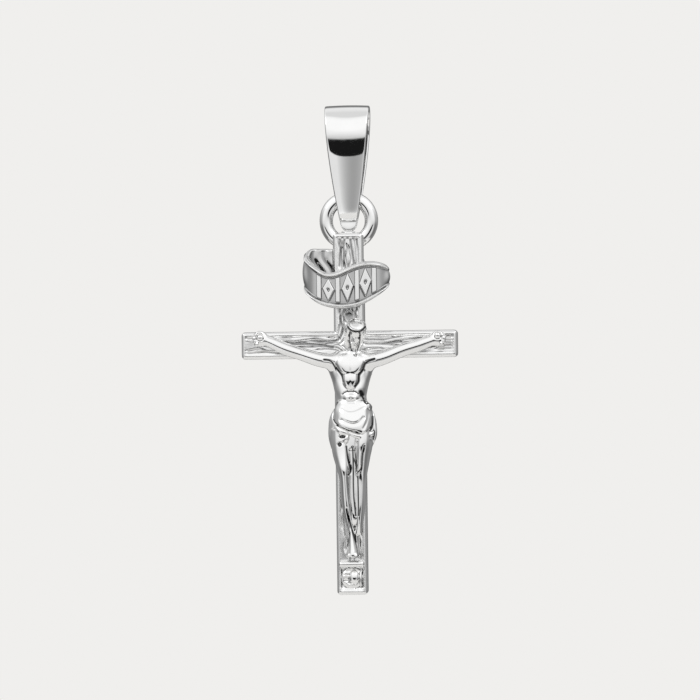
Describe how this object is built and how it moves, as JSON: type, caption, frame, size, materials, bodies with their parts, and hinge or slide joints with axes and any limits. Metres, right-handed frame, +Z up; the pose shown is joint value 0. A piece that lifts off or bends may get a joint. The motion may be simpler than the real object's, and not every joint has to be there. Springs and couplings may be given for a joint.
{
  "type": "crucifix pendant",
  "caption": "Small cast crucifix pendant with wood-grain cross, figure and ribbon scroll, hung by a jump ring from a tapered bail.",
  "frame": {"origin": "the chain's seat, at the inside top of the bail, in the plane in which the bail and the ring hang", "axes": "+Z up along the post, -Y out of the front, +X to the viewer's right"},
  "size_m": [0.0164, 0.0052, 0.0371],
  "materials": {
    "polished_silver": "bright polished silver",
    "grained_silver": "cast silver, grooved like wood and polished on the ridges",
    "scroll_silver": "polished silver with a finely matt field between the rims",
    "figure_silver": "bright polished cast silver"
  },
  "bodies": {
    "bail": {"bail": "polished_silver"},
    "ring": {"jump_ring": "polished_silver"},
    "cross": {"cross": "grained_silver", "hanger_eyelet": "polished_silver", "title_scroll": "scroll_silver", "corpus": "figure_silver", "hand_nail_left": "polished_silver", "hand_nail_right": "polished_silver", "foot_ledge": "grained_silver", "panel_relief": "grained_silver"}
  },
  "joints": [
    {"name": "ring_swing", "type": "hinge", "parent": "bail", "child": "ring", "pos_m": [0, 0, -0.00662], "axis": [1, 0, 0], "range_deg": [-45, 45]},
    {"name": "cross_swing", "type": "hinge", "parent": "ring", "child": "cross", "pos_m": [0, 0, -0.01006], "axis": [1, 0, 0], "range_deg": [-12, 75]}
  ]
}
